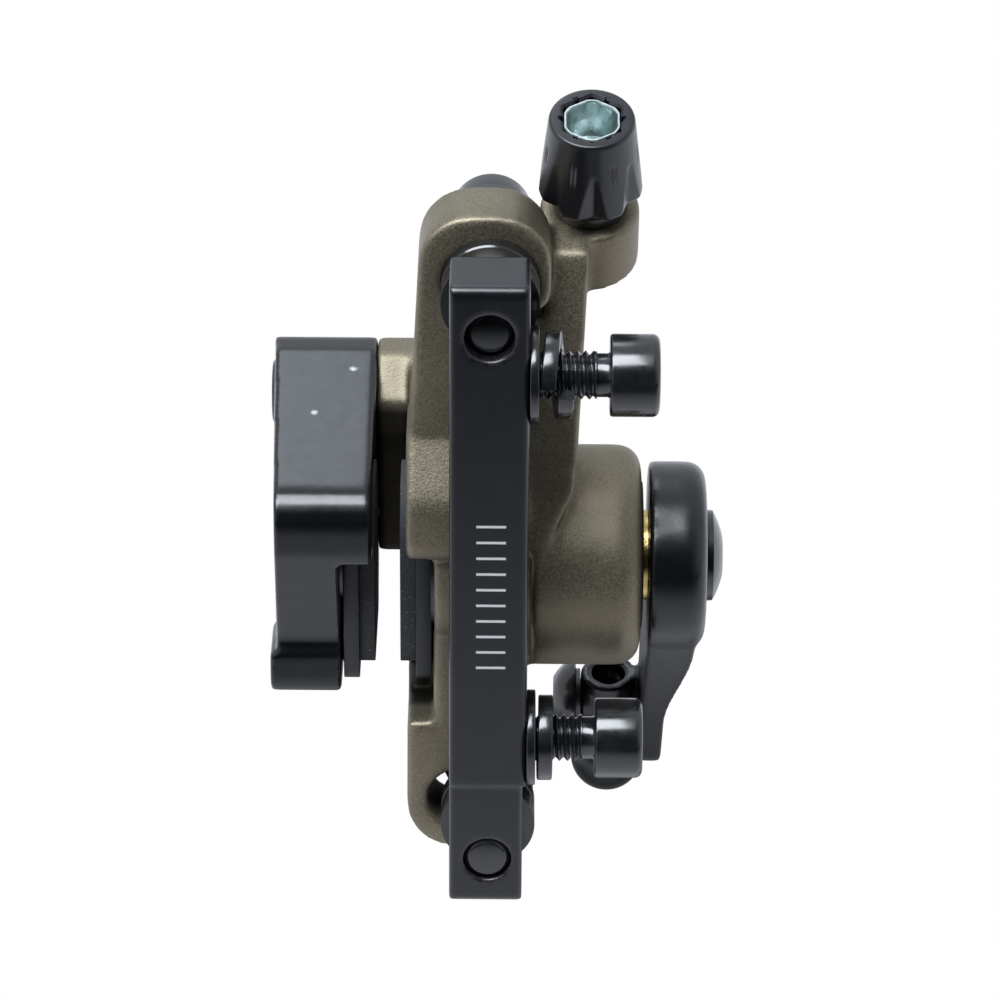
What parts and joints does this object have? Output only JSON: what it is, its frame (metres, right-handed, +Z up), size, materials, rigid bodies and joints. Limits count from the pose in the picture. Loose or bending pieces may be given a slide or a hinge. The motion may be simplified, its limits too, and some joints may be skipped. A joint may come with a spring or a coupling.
{
  "type": "disc brake caliper",
  "caption": "Cable-pulled bicycle disc brake caliper on its adapter bar: slotted cast body, pads, ball-ramp lever, cable adjuster and half-screwed frame bolts.",
  "frame": {"origin": "midway between the two frame bolts, on their axes' common plane, where the frame's tab sits", "axes": "+X along the frame bolts towards their heads, +Y away from the wheel's axle, +Z up along the bar"},
  "size_m": [0.0577, 0.0524, 0.1108],
  "materials": {
    "satin_black": "satin black anodised",
    "zinc": "pale zinc plate",
    "black_steel": "black oxide",
    "bronze_paint": "fine metallic bronze paint over a casting",
    "gloss_black": "gloss black paint",
    "brass": "plain",
    "seal_rubber": "matt",
    "steel": "ground",
    "pad_steel": "dull grey",
    "lining": "speckled friction compound",
    "black_plastic": "satin moulded"
  },
  "bodies": {
    "caliper": {"adapter_bracket": "satin_black", "frame_bolts": "black_steel", "frame_washers": "black_steel", "frame_lock_washers": "black_steel", "post_bolts": "black_steel", "cup_washers": "black_steel", "ball_washers": "black_steel", "caliper_body": "bronze_paint", "inner_housing": "gloss_black", "housing_bolts": "black_steel", "spindle_bush": "brass", "dust_seal": "seal_rubber", "thrust_washer": "brass", "return_spring": "steel"},
    "lever": {"lever_arm": "gloss_black", "lever_bolt": "black_steel", "spindle": "steel", "pinch_bolt": "black_steel", "pinch_washer": "steel"},
    "piston": {"piston": "steel", "piston_magnet": "steel", "outer_pad_plate": "pad_steel", "outer_pad_lining": "lining"},
    "cage": {"ball_cage": "black_plastic", "ramp_balls": "steel"},
    "inner_pad": {"pad_foot": "steel", "foot_magnet": "steel", "inner_pad_plate": "pad_steel", "inner_pad_lining": "lining"},
    "pad_adjuster": {"pad_adjuster": "black_steel"},
    "knob": {"adjuster_knob": "black_plastic"},
    "barrel": {"adjuster_barrel": "zinc"}
  },
  "joints": [
    {"name": "lever_pivot", "type": "hinge", "parent": "caliper", "child": "lever", "pos_m": [-0.0112, 0.01778, -0.0091], "axis": [1, 0, 0], "range_deg": [0, 45], "stiffness_Nm_per_rad": 0.3, "springref_deg": -28.65},
    {"name": "piston_slide", "type": "slide", "parent": "caliper", "child": "piston", "axis": [-1, 0, 0], "range_m": [0, 0.00136]},
    {"name": "cage_turn", "type": "hinge", "parent": "caliper", "child": "cage", "pos_m": [-0.0112, 0.01778, -0.0091], "axis": [1, 0, 0], "range_deg": [0, 23]},
    {"name": "inner_pad_slide", "type": "slide", "parent": "caliper", "child": "inner_pad", "axis": [1, 0, 0], "range_m": [0, 0.0012]},
    {"name": "adjuster_turn", "type": "hinge", "parent": "inner_pad", "child": "pad_adjuster", "pos_m": [-0.0112, 0.01778, -0.0091], "axis": [1, 0, 0], "range_deg": [0, 446]},
    {"name": "knob_turn", "type": "hinge", "parent": "caliper", "child": "knob", "pos_m": [0.00095, 0.02428, 0.0368], "axis": [0, -0.342, 0.9397], "range_deg": [0, 1100]},
    {"name": "barrel_slide", "type": "slide", "parent": "knob", "child": "barrel", "axis": [0, -0.342, 0.9397], "range_m": [0, 0.0024]}
  ],
  "couplings": [
    {"joint": "piston_slide", "follows": "lever_pivot", "m_per_rad": 0.00172},
    {"joint": "cage_turn", "follows": "lever_pivot", "ratio": 0.5},
    {"joint": "adjuster_turn", "follows": "inner_pad_slide", "rad_per_m": 6283.2},
    {"joint": "knob_turn", "follows": "barrel_slide", "rad_per_m": 7854}
  ]
}
